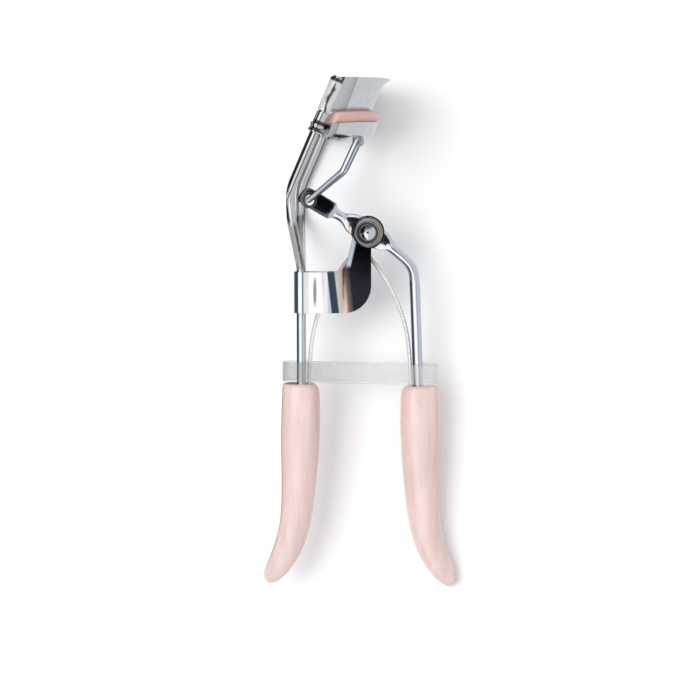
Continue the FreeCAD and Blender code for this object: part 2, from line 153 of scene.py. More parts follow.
def offset_along(tree, direction, origin=(0, 0, 0), either_side=False):
    """Distance from the origin along a direction, both given on the curler's own axes."""
    line = LAID @ Vector(direction)
    place = add(tree, "ShaderNodeTexCoord")
    dot = add(tree, "ShaderNodeVectorMath", operation="DOT_PRODUCT")
    dot.inputs[1].default_value = line
    tree.links.new(place.outputs["Object"], dot.inputs[0])
    shift = add(tree, "ShaderNodeMath", operation="SUBTRACT")
    shift.inputs[1].default_value = at(*origin).dot(line)
    tree.links.new(dot.outputs["Value"], shift.inputs[0])
    return either(tree, shift.outputs["Value"]) if either_side else shift.outputs["Value"]


def either(tree, value):
    size = add(tree, "ShaderNodeMath", operation="ABSOLUTE")
    tree.links.new(value, size.inputs[0])
    return size.outputs["Value"]


def gate(tree, value, low_mm, high_mm):
    """0 below low_mm, 1 above high_mm."""
    node = add(tree, "ShaderNodeMapRange")
    node.inputs["From Min"].default_value = low_mm * MM
    node.inputs["From Max"].default_value = high_mm * MM
    tree.links.new(value, node.inputs["Value"])
    return node.outputs["Result"]


def arithmetic(tree, operation, a, b):
    node = add(tree, "ShaderNodeMath", operation=operation)
    for socket, value in zip(node.inputs, (a, b)):
        if isinstance(value, (int, float)):
            socket.default_value = value
        else:
            tree.links.new(value, socket)
    return node.outputs["Value"]


def blend_colours(tree, kind, factor, a, b):
    node = add(tree, "ShaderNodeMix", data_type="RGBA", blend_type=kind)
    for socket, value in ((node.inputs[0], factor), (node.inputs[6], a), (node.inputs[7], b)):
        if isinstance(value, (int, float, tuple)):
            socket.default_value = value
        else:
            tree.links.new(value, socket)
    return node.outputs[2]


RAIL_ALONG = (math.sin(LEAN), 0, math.cos(LEAN))
RAIL_ACROSS = (math.cos(LEAN), 0, -math.sin(LEAN))
RAIL_FOOT = (BEND_X, 0, BEND_Z)


def sleeve_look(tree):
    """The rolled sleeves: satin, with painted shade at a dark mouth at the top and a painted wandering dark
    reflection.
    """
    outer = gate(tree, offset_along(tree, (0, 1, 0), either_side=True), 15.2, 15.4)
    offset = offset_along(tree, RAIL_ACROSS, RAIL_FOOT)
    on = arithmetic(tree, "MULTIPLY", outer, gate(tree, either(tree, offset), 1.3, 1.2))
    # Painted reflection: a wandering brown-black line with darker patches beside it.
    wander = spread(tree, noise(tree, 3.2, 1), -0.0011, 0.0010)
    streak = gate(tree, either(tree, arithmetic(tree, "ADD", offset, wander)), 0.12, 0.50)
    patches = gate(tree, spread(tree, noise(tree, 1.5, 2), 0.0, MM), 0.52, 0.60)
    line = arithmetic(tree, "MAXIMUM", streak, patches)
    # Painted shade: the mouth at the top of the sleeve is dark.
    mouth = gate(tree, offset_along(tree, RAIL_ALONG, RAIL_FOOT), 21.8, 22.2)
    painted_sleeve_light = ramp(tree, line, [(0.0, (0.10, 0.07, 0.06, 1)), (1.0, FULL)])
    painted_sleeve_light = blend_colours(tree, "MIX", mouth, painted_sleeve_light, (0.12, 0.13, 0.16, 1))
    colour = blend_colours(tree, "MIX", on, sheet_shade(tree), painted_sleeve_light)
    outside_mouth = arithmetic(tree, "SUBTRACT", 0.65, arithmetic(tree, "MULTIPLY", mouth, 0.65))
    satin = arithmetic(tree, "MULTIPLY", on, outside_mouth)
    return colour, arithmetic(tree, "SUBTRACT", 1.0, satin)


def sheet_shade(tree):
    """Painted shade on the plates: they darken gently up to a crease, then start bright again."""
    across = gate(tree, offset_along(tree, (0.933, 0, -0.360)), -16.0, -12.0)
    return ramp(tree, across, [
        (0.0, (0.97, 0.97, 0.96, 1)), (0.6, (0.86, 0.86, 0.86, 1)), (0.86, (0.70, 0.70, 0.71, 1)),
        (0.91, (0.58, 0.58, 0.60, 1)), (0.95, FULL)])


# The lower jaw carries only the plates' painted shade.
def lower_look(tree):
    return sheet_shade(tree), None


def rod_reflection_stripes(tree, offset, radius_mm, edge, line, edge_to=0.20):
    """Painted reflection across a polished rod: dark edge, bright middle, one thin line, soft grey side."""
    across = gate(tree, offset, -radius_mm, radius_mm)
    return ramp(tree, across, [
        (0.0, edge), (edge_to, edge), (edge_to + 0.09, FULL), (0.54, FULL), (0.60, line), (0.66, line),
        (0.72, (0.74, 0.75, 0.78, 1)), (1.0, (0.62, 0.63, 0.66, 1))])


# Colours of the painted reflections on the rods: the dark edge and the thin line.
BLUE_REFLECTION_EDGE, BLUE_REFLECTION_LINE = (0.05, 0.08, 0.14, 1), (0.42, 0.50, 0.64, 1)
BLACK_REFLECTION_EDGE, BLACK_REFLECTION_LINE = (0.03, 0.025, 0.03, 1), (0.12, 0.10, 0.11, 1)


def lever_look(tree):
    """Painted reflections: the crosshead block dark, the neck and boss pale with a painted tan highlight on
    the boss, the long arm striped like the wires.
    """
    along = gate(tree, offset_along(tree, (math.cos(SHORT), 0, math.sin(SHORT))), 8.1, 8.6)
    head = ramp(tree, along, [(0.0, (0.86, 0.90, 0.94, 1)), (1.0, (0.13, 0.14, 0.17, 1))])
    # Painted highlight: a tan oval on the boss.
    head = blend_colours(tree, "MIX", oval(tree, (-3.5, 0, 0.9), 0.55, 0.9), head, (0.88, 0.70, 0.58, 1))
    arm = rod_reflection_stripes(tree, offset_along(tree, (0.999, 0, 0.038), (9.9, 0, -23)), LEVER_ROD_R,
                      BLUE_REFLECTION_EDGE, BLUE_REFLECTION_LINE)
    low = gate(tree, offset_along(tree, (0, 0, -1)), 7.5, 10.0)
    metallic = arithmetic(tree, "SUBTRACT", 1.0, arithmetic(tree, "MULTIPLY", low, 0.5))
    return blend_colours(tree, "MIX", low, head, arm), metallic


def wire_look(tree):
    """Painted reflection stripes that follow the rail, the leg and the arm: pinkish black above, blue below.
    """
    height = offset_along(tree, (0, 0, 1))
    rail = rod_reflection_stripes(tree, offset_along(tree, RAIL_ACROSS, RAIL_FOOT), WIRE_R, BLACK_REFLECTION_EDGE, BLACK_REFLECTION_LINE, 0.32)
    rail = blend_colours(tree, "MULTIPLY", 1.0, rail, (1.0, 0.96, 0.955, 1))
    below_elbow = offset_along(tree, (0.995, 0, 0.0995), (BEND_X, 0, LEG_TOP))
    elbow = rod_reflection_stripes(tree, below_elbow, WIRE_R, BLACK_REFLECTION_EDGE, BLUE_REFLECTION_LINE, 0.28)
    leg = ramp(tree, gate(tree, below_elbow, -WIRE_R, WIRE_R), [
        (0.0, (0.70, 0.70, 0.72, 1)), (0.14, (1, 0.96, 0.955, 1)), (0.40, (0.90, 0.83, 0.82, 1)),
        (0.58, (0.72, 0.64, 0.63, 1)), (0.64, BLACK_REFLECTION_LINE), (0.76, BLACK_REFLECTION_LINE),
        (0.84, (0.62, 0.62, 0.65, 1)), (1.0, (0.50, 0.50, 0.53, 1))])
    leg = blend_colours(tree, "MIX", gate(tree, height, 1.4, 2.6), leg, elbow)
    arm = rod_reflection_stripes(tree, offset_along(tree, (1, 0, 0), (ARM_X, 0, 0)), WIRE_R, BLUE_REFLECTION_EDGE, BLUE_REFLECTION_LINE)
    lower = blend_colours(tree, "MIX", gate(tree, height, -8.0, -6.0), arm, leg)
    return blend_colours(tree, "MIX", gate(tree, height, 5.0, 7.4), lower, rail), 0.5


def stirrup_look(tree):
    """Painted reflection: bluish bands along each run of the wire, with dark edges and a bright middle."""
    bands = [(0.0, (0.05, 0.08, 0.15, 1)), (0.18, (0.07, 0.10, 0.18, 1)), (0.30, (0.97, 0.985, 1.0, 1)),
             (0.60, (0.97, 0.985, 1.0, 1)), (0.72, (0.24, 0.30, 0.42, 1)), (1.0, (0.04, 0.06, 0.12, 1))]
    upper_run, lower_run = [
        ramp(tree, gate(tree, offset_along(tree, across, STIRRUP_ELBOW), -STIRRUP_R, STIRRUP_R), bands)
        for across in ((0.903, 0, -0.429), (0.637, 0, -0.771))]
    high = gate(tree, offset_along(tree, (0, 0, 1)), 11.8, 12.4)
    return blend_colours(tree, "MIX", high, lower_run, upper_run), 0.45


def collar_look(tree):
    """Painted reflection: dark flanges either side of a bright groove, below a bright sleeve."""
    axial = offset_along(tree, RAIL_ALONG, (-9.32, 0, 20.55), either_side=True)
    return ramp(tree, gate(tree, axial, 0.0, 1.6), [
        (0.0, FULL), (0.14, FULL), (0.24, (0.13, 0.11, 0.11, 1)), (0.6, (0.16, 0.14, 0.14, 1)),
        (0.72, FULL), (1.0, FULL)]), None


def squared(tree, value, size_mm):
    part = arithmetic(tree, "DIVIDE", value, size_mm * MM)
    return arithmetic(tree, "MULTIPLY", part, part)


def oval(tree, centre, half_x, half_z):
    """1 inside an upright oval seen from the front, 0 outside."""
    wide = squared(tree, offset_along(tree, (1, 0, 0), centre), half_x)
    tall = squared(tree, offset_along(tree, (0, 0, 1), centre), half_z)
    node = add(tree, "ShaderNodeMapRange")
    node.inputs["From Min"].default_value = 1.25
    node.inputs["From Max"].default_value = 0.55
    tree.links.new(arithmetic(tree, "ADD", wide, tall), node.inputs["Value"])
    return node.outputs["Result"]


def rivet_radius(tree):
    x = squared(tree, offset_along(tree, (1, 0, 0)), 1.0)
    z = squared(tree, offset_along(tree, (0, 0, 1)), 1.0)
    return arithmetic(tree, "MULTIPLY", arithmetic(tree, "SQRT", arithmetic(tree, "ADD", x, z), 0.0), MM)


def washer_look(tree):
    """Painted reflections on a domed ring: dark inside and at its outer slope, brown-grey on the crown,
    bright rim, darker to the lower left.
    """
    out = gate(tree, rivet_radius(tree), 1.5, 3.1)
    rings = ramp(tree, out, [
        (0.0, (0.95, 0.95, 0.95, 1)), (0.08, (0.9, 0.9, 0.9, 1)), (0.16, (0.09, 0.11, 0.17, 1)),
        (0.32, (0.12, 0.14, 0.20, 1)), (0.42, (0.50, 0.45, 0.43, 1)), (0.72, (0.62, 0.56, 0.53, 1)),
        (0.86, (0.30, 0.27, 0.26, 1)), (0.97, (0.8, 0.8, 0.8, 1))])
    # Painted reflection: darker to the lower left, brighter to the upper right.
    side = gate(tree, offset_along(tree, (0.8, 0, 0.6)), -2.6, 2.2)
    sweep = ramp(tree, side, [
        (0.0, (0.42, 0.45, 0.52, 1)), (0.5, (0.7, 0.7, 0.72, 1)), (1.0, (1, 0.97, 0.95, 1))])
    return blend_colours(tree, "MULTIPLY", 1.0, rings, sweep), None


def rivet_look(tree):
    """The dome with a small painted dark reflection at its centre and a painted darker upper left."""
    centre_reflection_mask = gate(tree, rivet_radius(tree), 0.12, 0.34)
    centre = ramp(tree, centre_reflection_mask, [(0.0, (0.08, 0.08, 0.10, 1)), (1.0, FULL)])
    # Painted reflection: darker towards the upper left.
    side = gate(tree, offset_along(tree, (0.5, 0, -0.87)), -1.25, -0.25)
    arc = ramp(tree, side, [(0.0, (0.16, 0.18, 0.24, 1)), (0.6, (0.2, 0.22, 0.28, 1)), (1.0, FULL)])
    return blend_colours(tree, "MULTIPLY", 1.0, centre, arc), None


def spring_look(tree):
    """Pale bright wire with painted shade: darker where it dives behind the lever."""
    up = gate(tree, offset_along(tree, (0, 0, 1)), -9.0, -4.0)
    return ramp(tree, up, [(0.0, FULL), (1.0, (0.45, 0.38, 0.33, 1))]), 0.6


EAR_ACROSS = (0.976, 0, -0.218)                 # square to the bracket ear's left edge


def bracket_look(tree):
    """Painted reflections on the fold from the wires to the ears, painted shade in the crimp, and a painted
    highlight that brightens the ears' rounded left edge.
    """
    along = gate(tree, offset_along(tree, (0.994, 0, 0.112)), -9.4, -4.4)
    fold_reflections = ramp(tree, along, [
        (0.0, FULL), (0.08, FULL), (0.11, (0.07, 0.10, 0.15, 1)), (0.36, (0.08, 0.10, 0.15, 1)),
        (0.41, (1.0, 0.93, 0.86, 1)), (0.53, (0.98, 0.82, 0.73, 1)), (0.70, (0.72, 0.52, 0.44, 1)),
        (0.80, (0.24, 0.15, 0.12, 1)), (0.92, (0.09, 0.08, 0.09, 1)), (1.0, (0.025, 0.026, 0.034, 1))])
    across = offset_along(tree, (1, 0, 0))
    # Painted reflection across the wrap around the wires.
    back = ramp(tree, gate(tree, across, -15.0, -11.0), [
        (0.0, (0.06, 0.08, 0.14, 1)), (0.27, (0.06, 0.08, 0.14, 1)), (0.30, FULL), (0.46, FULL),
        (0.48, (0.10, 0.13, 0.20, 1)), (0.53, (0.12, 0.15, 0.22, 1)), (0.56, (0.70, 0.70, 0.71, 1)),
        (0.80, (0.80, 0.80, 0.80, 1)), (0.86, FULL)])
    fold_reflections = blend_colours(tree, "MULTIPLY", 1.0, fold_reflections, back)
    # Painted shade: a darker oval in the crimp.
    crimp_shade = oval(tree, (-10.5, 0, -11.6), 0.36, 2.9)
    fold_reflections = blend_colours(tree, "MIX", crimp_shade, fold_reflections, (0.40, 0.41, 0.43, 1))
    flat = gate(tree, across, -7.8, -8.1)
    # Painted highlight along the ears' rounded left edge.
    edge = gate(tree, offset_along(tree, EAR_ACROSS), -2.0, -1.7)
    start = gate(tree, offset_along(tree, EAR_ACROSS), -2.9, -2.65)
    edge_highlight = arithmetic(tree, "SUBTRACT", start, edge)
    edge_highlight = arithmetic(tree, "MULTIPLY", edge_highlight, gate(tree, offset_along(tree, (0, 0, -1)), -1.9, -1.5))
    edge_highlight = arithmetic(tree, "MULTIPLY", edge_highlight, gate(tree, offset_along(tree, (0, 0, 1)), -7.2, -6.4))
    colour = blend_colours(tree, "MIX", edge_highlight, fold_reflections, (0.72, 0.80, 0.90, 1))
    matte = arithmetic(tree, "MULTIPLY", arithmetic(tree, "MAXIMUM", edge_highlight, flat), 0.65)
    return colour, arithmetic(tree, "SUBTRACT", 1.0, matte)


def plated(name, tone=0.78, tint=(0.985, 0.99, 1.0), rough=(0.05, 0.13), grain=(1, 1, 1),
           wave=0.25, edge=0.12, fine=0.1, look=None):
    """Bright plating: faint cloudiness, fine polishing lines, softly rounded edges; a look multiplies painted
    reflections and shade into its colour.
    """
    mat, tree, shader = new_material(name)
    cloud = noise(tree, 2.2, 4)
    lines = noise(tree, 0.12, 2, stretch=grain, turn=(0.1, 0.05, 0.2))
    colour = ramp(tree, cloud, [(0.3, grey(tone * 0.93, tint)), (0.7, grey(tone, tint))])
    shader.inputs["Metallic"].default_value = 1.0
    if look:
        paint, metallic = look(tree)
        colour = blend_colours(tree, "MULTIPLY", 1.0, colour, paint)
        if isinstance(metallic, float):
            shader.inputs["Metallic"].default_value = metallic
        elif metallic:
            tree.links.new(metallic, shader.inputs["Metallic"])
    tree.links.new(colour, shader.inputs["Base Color"])
    tree.links.new(spread(tree, lines, *rough), shader.inputs["Roughness"])
    layers = [(noise(tree, 3.0, 2), wave, 0.02)]
    if fine:
        layers.append((lines, fine, 0.003))
    bumps(tree, shader, layers, edge)
    return mat


# ------------------------------------------------------------------ materials

wire_plate = plated("guide_wire_plating", tone=0.88, rough=(0.04, 0.10), wave=0.3, edge=0, fine=0,
                    look=wire_look)
# Painted shade: the far wire is the near wire's plating copied duller and darker.
far_wire_plate = plated("far_wire_plating", tone=0.80, rough=(0.30, 0.42), wave=0.2, edge=0, fine=0)
upper_plate = plated("upper_jaw_plating", tone=0.76, tint=(0.965, 0.98, 1.0), rough=(0.18, 0.28),
                     wave=0.35, edge=0.1, fine=0, look=sleeve_look)
lower_plate = plated("lower_jaw_plating", tone=0.76, tint=(0.965, 0.98, 1.0), rough=(0.18, 0.28),
                     wave=0.3, edge=0.1, fine=0, look=lower_look)
bracket_plate = plated("bracket_plating", tone=0.92, rough=(0.05, 0.12), wave=0.3, edge=0.15,
                       look=bracket_look)
lever_plate = plated("lever_plating", tone=0.88, rough=(0.05, 0.12), wave=0.5, edge=0.15, look=lever_look)
rivet_plate = plated("rivet_plating", tone=0.78, tint=(1.0, 0.99, 0.98), rough=(0.08, 0.2), wave=0.4,
                     edge=0.12, look=rivet_look)
washer_plate = plated("washer_plating", tone=0.74, tint=(1.0, 0.98, 0.97), rough=(0.14, 0.26), wave=0.5,
                      edge=0.12, look=washer_look)
spacer_plate = plated("spacer_plating", tone=0.50, tint=(1.0, 0.95, 0.92), rough=(0.14, 0.26), wave=0.4,
                      edge=0.1)
collar_plate = plated("collar_plating", tone=0.80, rough=(0.06, 0.16), wave=0.2, edge=0.06,
                      look=collar_look)
# Painted dark reflection: the bush is plated like the collars but darkened to match the crosshead.
bush_plate = plated("bush_plating", tone=0.34, tint=(0.97, 0.98, 1.0), rough=(0.1, 0.2), wave=0.2,
                    edge=0.06)
stirrup_plate = plated("stirrup_plating", tone=0.96, rough=(0.05, 0.12), wave=0.2, edge=0, fine=0,
                       look=stirrup_look)
spring_plate = plated("spring_wire", tone=0.92, tint=(1.0, 0.985, 0.965), rough=(0.2, 0.34), wave=0.2,
                      edge=0, fine=0, look=spring_look)

CARRIED = {
    "upper_jaw": upper_plate, "lower_jaw": lower_plate,
    "near_slide_collar": collar_plate, "far_slide_collar": collar_plate, "crosshead_bush": bush_plate,
    "stirrup": stirrup_plate, "lever_arm": lever_plate, "pivot_bracket": bracket_plate,
    "pivot_rivet": rivet_plate, "near_rivet_washer": washer_plate, "far_rivet_washer": washer_plate,
    "near_spacer": spacer_plate, "far_spacer": spacer_plate,
}
for name, mat in CARRIED.items():
    nodes[name].data.materials.clear()
    nodes[name].data.materials.append(mat)


def pink_plastic():
    """Pale moulded plastic: soft gloss, a little light inside, faint streaks along the handle, painted shade
    along the sides and in two small dimples.
    """
    mat, tree, shader = new_material("handle_plastic")
    flow = noise(tree, 1.6, 3, stretch=(1, 0.07, 1))
    tone = ramp(tree, flow, [(0.3, (0.70, 0.52, 0.485, 1)), (0.7, (0.81, 0.63, 0.59, 1))])
    # Painted shade: the handles' sides are darker and warmer than their middles, above the tips.
    left, right = [offset_along(tree, (1, 0, 0), (x, 0, 0), either_side=True) for x in (-13.6, 10.6)]
    side = gate(tree, arithmetic(tree, "MINIMUM", left, right), 2.4, 4.1)
    rim = arithmetic(tree, "MULTIPLY", side, gate(tree, offset_along(tree, (0, 0, 1)), -58, -50))
    tone = blend_colours(tree, "MULTIPLY", rim, tone, (0.95, 0.82, 0.77, 1))
    # Painted shade in two small dimples, one on each handle.
    for centre in ((-13.3, 0, -33.3), (10.3, 0, -33.7)):
        tone = blend_colours(tree, "MULTIPLY", oval(tree, centre, 0.36, 0.32), tone, (0.965, 0.90, 0.88, 1))
    tree.links.new(tone, shader.inputs["Base Color"])
    tree.links.new(spread(tree, noise(tree, 0.5, 3), 0.22, 0.30), shader.inputs["Roughness"])
    shader.inputs["Subsurface Weight"].default_value = 0.2
    shader.inputs["Subsurface Radius"].default_value = (1.0, 0.55, 0.45)
    shader.inputs["Subsurface Scale"].default_value = 1.0 * MM
    shader.inputs["Coat Weight"].default_value = 0.4
    shader.inputs["Coat Roughness"].default_value = 0.14
    bumps(tree, shader, [(noise(tree, 5.0, 2), 0.2, 0.03), (flow, 0.1, 0.02)])
    return mat


def silicone():
    mat, tree, shader = new_material("pad_silicone")
    tone = noise(tree, 1.6, 4)
    tree.links.new(ramp(tree, tone, [(0.3, (0.68, 0.39, 0.35, 1)), (0.7, (0.74, 0.46, 0.42, 1))]),
                   shader.inputs["Base Color"])
    tree.links.new(spread(tree, noise(tree, 0.15, 3), 0.38, 0.55), shader.inputs["Roughness"])
    shader.inputs["Subsurface Weight"].default_value = 0.35
    shader.inputs["Subsurface Radius"].default_value = (1.0, 0.4, 0.35)
    shader.inputs["Subsurface Scale"].default_value = 0.8 * MM
    bumps(tree, shader, [(noise(tree, 0.08, 3), 0.25, 0.008), (tone, 0.2, 0.02)])
    return mat


def clear_film():
    """Cloudy clear film, grey with painted shade that is greyer towards the left arm; denser where it turns
    edge-on.
    """
    mat, tree, shader = new_material("strap_film")
    crease = noise(tree, 1.8, 3, stretch=(1, 0.25, 1))
    cloud = ramp(tree, crease, [(0.35, (0.86, 0.86, 0.87, 1)), (0.65, FULL)])
    # Painted shade: the film greys towards the left arm.
    shade = ramp(tree, gate(tree, offset_along(tree, (1, 0, 0)), -14, 4),
                 [(0.0, (0.36, 0.355, 0.36, 1)), (0.5, (0.66, 0.655, 0.665, 1)),
                  (1.0, (0.80, 0.795, 0.805, 1))])
    tree.links.new(blend_colours(tree, "MULTIPLY", 1.0, shade, cloud), shader.inputs["Base Color"])
    tree.links.new(spread(tree, crease, 0.08, 0.22), shader.inputs["Roughness"])
    facing = add(tree, "ShaderNodeLayerWeight", in_Blend=0.3)
    rim = spread(tree, facing.outputs["Facing"], 0.0, 0.25)
    density = arithmetic(tree, "ADD", rim, spread(tree, crease, 0.13, 0.27))
    tree.links.new(density, shader.inputs["Alpha"])
    shader.inputs["IOR"].default_value = 1.45
    bumps(tree, shader, [(crease, 0.5, 0.08)])
    return mat


handle_mat = pink_plastic()
pad_mat = silicone()
film_mat = clear_film()


# ------------------------------------------------------------------ mesh helpers

def new_mesh(name, bm):
    mesh = bpy.data.meshes.new(name)
    bm.to_mesh(mesh)
    bm.free()
    return mesh


def new_object(name, data):
    obj = bpy.data.objects.new(name, data)
    bpy.context.scene.collection.objects.link(obj)
    return obj


def finish_piece(name, mesh, mat, smooth=True, subdiv=0):
    obj = new_object(name, mesh)
    mesh.materials.append(mat)
    for face in mesh.polygons:
        face.use_smooth = smooth
    if subdiv:
        mod = obj.modifiers.new("smooth", "SUBSURF")
        mod.levels = subdiv
        mod.render_levels = subdiv
    return obj


def mesh_from_rings(name, rings, closed_ends=True, loop=False):
    """Joins equal rings of points into a skin; with loop, the last ring meets the first."""
    bm = bmesh.new()
    rows = [[bm.verts.new(p) for p in ring] for ring in rings]
    count = len(rows[0])
    pairs = list(zip(rows, rows[1:]))
    if loop:
        pairs.append((rows[-1], rows[0]))
    for a, b in pairs:
        for i in range(count):
            j = (i + 1) % count
            bm.faces.new((a[i], a[j], b[j], b[i]))
    if closed_ends and not loop:
        bm.faces.new(list(reversed(rows[0])))
        bm.faces.new(rows[-1])
    bmesh.ops.recalc_face_normals(bm, faces=bm.faces)
    return new_mesh(name, bm)


# ------------------------------------------------------------------ guide wires

WIRE_BENDS = (8.0, 5.0, 1.7)


def rounded_path(points, radii, steps=14):
    """Corner points turned into a path with tangent arcs at the inner corners."""
    path = [points[0]]
    for before, corner, after, radius in zip(points, points[1:], points[2:], radii):
        to_before, to_after = (before - corner).normalized(), (after - corner).normalized()
        half = to_before.angle(to_after) / 2
        start = corner + to_before * (radius / math.tan(half))
        middle = corner + (to_before + to_after).normalized() * (radius / math.sin(half))
        end = corner + to_after * (radius / math.tan(half))
        a, b = start - middle, end - middle
        swing = a.angle(b)
        for i in range(steps + 1):
            t = i / steps
            from_a, from_b = math.sin((1 - t) * swing), math.sin(t * swing)
            arm = a * (from_a / math.sin(swing)) + b * (from_b / math.sin(swing))
            path.append(middle + arm)
    path.append(points[-1])
    return path


def tube_mesh(name, path, radius, sides=40):
    """A round rod along the path with a small rounded lip at each end."""
    rings = []
    across = Vector((0, 1, 0))
    for k, point in enumerate(path):
        run = (path[min(k + 1, len(path) - 1)] - path[max(k - 1, 0)]).normalized()
        across = (across - run * across.dot(run)).normalized()
        other = run.cross(across)
        ends = [(0.0, 1.0)]
        if k == 0:
            ends = [(0.0, 0.82), (0.04, 0.93), (0.16, 1.0)]
        elif k == len(path) - 1:
            ends = [(-0.16, 1.0), (-0.04, 0.93), (0.0, 0.82)]
        for shift, size in ends:
            ring = []
            for i in range(sides):
                a = 2 * math.pi * i / sides
                spot = point + run * shift + (across * math.cos(a) + other * math.sin(a)) * (radius * size)
                ring.append(at(*spot))
            rings.append(ring)
    return mesh_from_rings(name, rings)


for side, name, mat in ((-1, "near_guide_wire", wire_plate), (1, "far_guide_wire", far_wire_plate)):
    corners = [
        Vector((BEND_X + math.tan(LEAN) * (RAIL_TOP - BEND_Z), side * RAIL_Y, RAIL_TOP)),
        Vector((BEND_X, side * RAIL_Y, BEND_Z)),
        Vector((BEND_X, side * RAIL_Y, LEG_TOP)),
        Vector((ARM_X, side * PAIR_Y, ARM_TOP)),
        Vector((ARM_X, side * PAIR_Y, ARM_END)),
    ]
    skin = tube_mesh(name, rounded_path(corners, WIRE_BENDS), WIRE_R)
    wire = finish_piece("smooth_" + name, skin, mat)
    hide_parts(name)
    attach(wire, "frame")


# ------------------------------------------------------------------ handles

HANDLE_MIRROR = -1.5          # the handles mirror each other about this line
HANDLE_DROP = 0.4             # the right one sits this much lower
HANDLE_ROWS = [               # middle x, z, outward lean in degrees, half width, half thickness
    (-13.98, -30.42, 0, 2.2, 1.7),
    (-13.98, -30.42, 0, 3.0, 2.5),
    (-13.7, -30.75, 0, 3.45, 3.1),
    (-13.52, -31.4, 0, 3.76, 3.4),
    (-13.45, -32.8, 0, 3.88, 3.5),
    (-13.5, -36.5, 0, 3.98, 3.5),
    (-13.6, -41.0, 0, 4.06, 3.5),
    (-13.8, -48.0, 1, 3.72, 3.5),
    (-14.1, -54.5, 5, 3.36, 3.4),
    (-14.8, -60.0, 14, 3.14, 3.2),
    (-16.1, -64.0, 26, 2.9, 2.9),
    (-17.9, -67.4, 38, 2.56, 2.5),
    (-19.5, -69.6, 46, 1.98, 1.8),
    (-20.4, -70.6, 48, 1.3, 1.1),
    (-20.7, -70.95, 48, 0.6, 0.5),
]


def handle_mesh(name, mirrored):
    rings = []
    for x, z, lean, half_w, half_t in HANDLE_ROWS:
        tilt = math.radians(lean)
        ring = []
        for i in range(24):
            a = 2 * math.pi * i / 24
            c = math.copysign(abs(math.cos(a)) ** 0.93, math.cos(a))
            s = math.copysign(abs(math.sin(a)) ** 0.93, math.sin(a))
            px = x + half_w * c * math.cos(tilt)
            pz = z - half_w * c * math.sin(tilt)
            if mirrored:
                px = 2 * HANDLE_MIRROR - px
                pz -= HANDLE_DROP
            ring.append(at(px, half_t * s, pz))
        rings.append(ring)
    return mesh_from_rings(name, rings)


for name, body, mirrored in (("left_grip", "frame", False), ("right_grip", "lever", True)):
    grip = finish_piece(name, handle_mesh(name, mirrored), handle_mat, subdiv=2)
    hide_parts("right_handle" if mirrored else "left_handle")
    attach(grip, body)


# ------------------------------------------------------------------ lever

# The rod's line and its section there: x, z, half width across, half thickness, squareness.
# It runs from the crosshead's tip through the neck and the boss to the right handle.
SHORT_ARM_ROWS = 22           # rows whose sections stay square to the short arm


def along_short(distance, offset=0.0):
    return (distance * math.cos(SHORT) + offset * math.sin(SHORT),
            distance * math.sin(SHORT) - offset * math.cos(SHORT))


LEVER_ROWS = [
    (*along_short(15.55, -0.45), 0.55, 0.7, 2.4),
    (*along_short(15.5, -0.4), 0.95, 0.95, 3.0),
    (*along_short(15.25, -0.25), 1.4, 1.14, 5.0),
    (*along_short(14.6), 1.76, 1.19, 11.0),
    (*along_short(13.4), 1.79, 1.2, 14.0),
    (*along_short(11.6), 1.8, 1.2, 14.0),
    (*along_short(9.8), 1.8, 1.2, 14.0),
    (*along_short(8.6), 1.78, 1.2, 10.0),
    (*along_short(8.12), 1.68, 1.16, 4.5),
    (*along_short(7.9), 1.4, 1.1, 3.0),
    (*along_short(7.7), 1.16, 1.04, 2.3),
    (*along_short(7.2), 1.02, 0.98, 2.1),
    (*along_short(6.4), 0.97, 0.98, 2.0),
    (*along_short(5.8), 1.02, 0.94, 2.1),
    (*along_short(5.3), 1.22, 0.86, 2.4),
    (*along_short(4.7), 1.6, 0.8, 3.2),
    (*along_short(3.9), 2.0, 0.78, 4.5),
    (*along_short(2.6), 2.26, 0.78, 5.0),
    (*along_short(0.0), 2.3, 0.78, 5.0),
    (*along_short(-2.4), 2.26, 0.78, 5.0),
    (*along_short(-3.6), 2.02, 0.78, 4.5),
    (*along_short(-4.45), 1.6, 0.8, 3.4),
    (*along_short(-5.0, -0.05), 1.3, 0.88, 2.5),
    (4.8, -3.12, 1.1, 0.98, 2.1),
    (5.6, -3.83, 1.05, 1.04, 2.0),
    (6.9, -4.93, 1.04, 1.05, 2.0),
    (7.75, -5.68, 1.04, 1.05, 2.0),
    (8.55, -6.6, 1.04, 1.05, 2.0),
    (9.05, -7.65, 1.04, 1.05, 2.0),
    (9.3, -8.8, 1.04, 1.05, 2.0),
    (9.44, -11.0, 1.04, 1.05, 2.0),
    (9.7, -18.0, 1.04, 1.05, 2.0),
    (10.0, -26.0, 1.04, 1.05, 2.0),
    (10.35, -35.0, 1.04, 1.05, 2.0),
]


def power(value, squareness):
    return math.copysign(abs(value) ** (2.0 / squareness), value)


def lever_mesh():
    rings = []
    last = len(LEVER_ROWS) - 1
    for k, (x, z, half_w, half_t, squareness) in enumerate(LEVER_ROWS):
        before, after = LEVER_ROWS[max(k - 1, 0)], LEVER_ROWS[min(k + 1, last)]
        run = Vector((after[0] - before[0], after[1] - before[1])).normalized()
        if k < SHORT_ARM_ROWS:
            run = Vector((-math.cos(SHORT), -math.sin(SHORT)))
        side = Vector((-run.y, run.x))
        ring = []
        for i in range(24):
            a = 2 * math.pi * i / 24
            w = half_w * power(math.cos(a), squareness)
            t = half_t * power(math.sin(a), squareness)
            ring.append(at(x + side.x * w, t, z + side.y * w))
        rings.append(ring)
    return mesh_from_rings("lever", rings)


PIN_X, PIN_Z = -11.75, 6.4
PIN_HOLE_R = 1.3
DRILL_SIDES = 40


